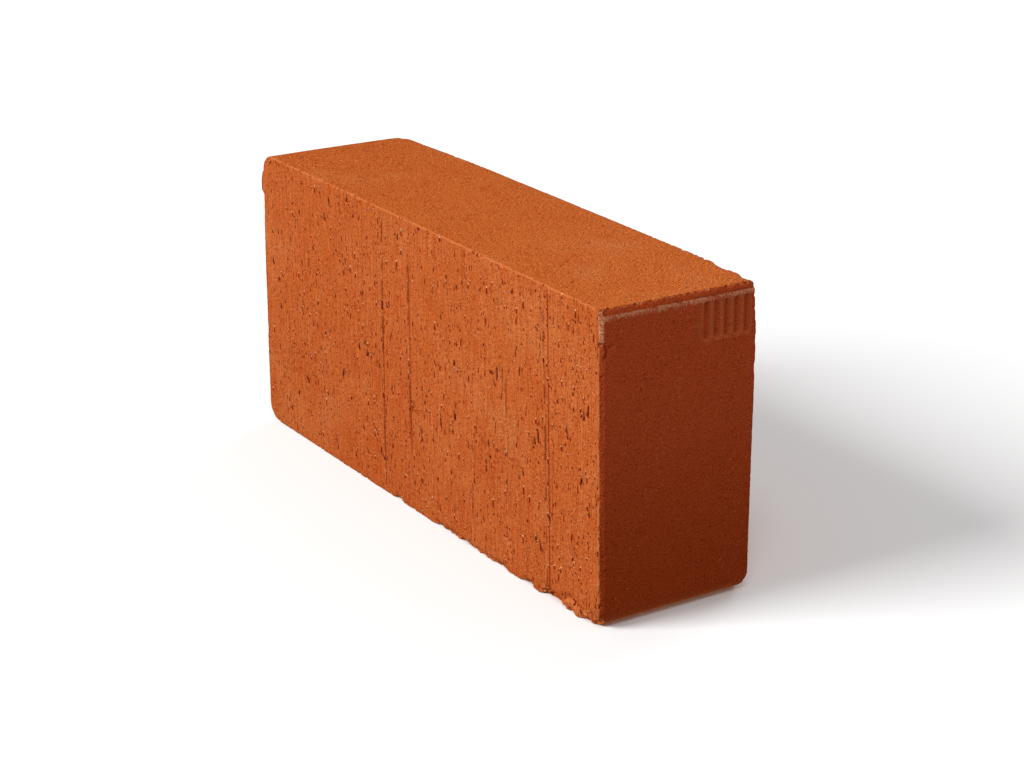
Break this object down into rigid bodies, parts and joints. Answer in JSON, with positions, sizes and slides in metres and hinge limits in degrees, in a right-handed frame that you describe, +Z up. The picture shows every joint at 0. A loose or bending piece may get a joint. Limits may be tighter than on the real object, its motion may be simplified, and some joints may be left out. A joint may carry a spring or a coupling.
{
  "type": "clay brick",
  "caption": "Solid red clay brick: a rectangular block with two rough wire-cut faces, rounded die corners and a bevelled end, standing on its long narrow side.",
  "frame": {"origin": "middle of the underside, which is one of the long narrow sides the brick stands on", "axes": "+X along the length, towards the end with the bevelled band and the pressed flutes; +Y across the thickness, from the front wire-cut face to the back one; +Z up the height"},
  "size_m": [0.25, 0.065, 0.12],
  "materials": {
    "fired_clay": "matt unglazed fired clay, orange-red, rough wire-cut faces and smoother die-formed sides"
  },
  "bodies": {
    "root": {"brick": "fired_clay"}
  },
  "joints": []
}
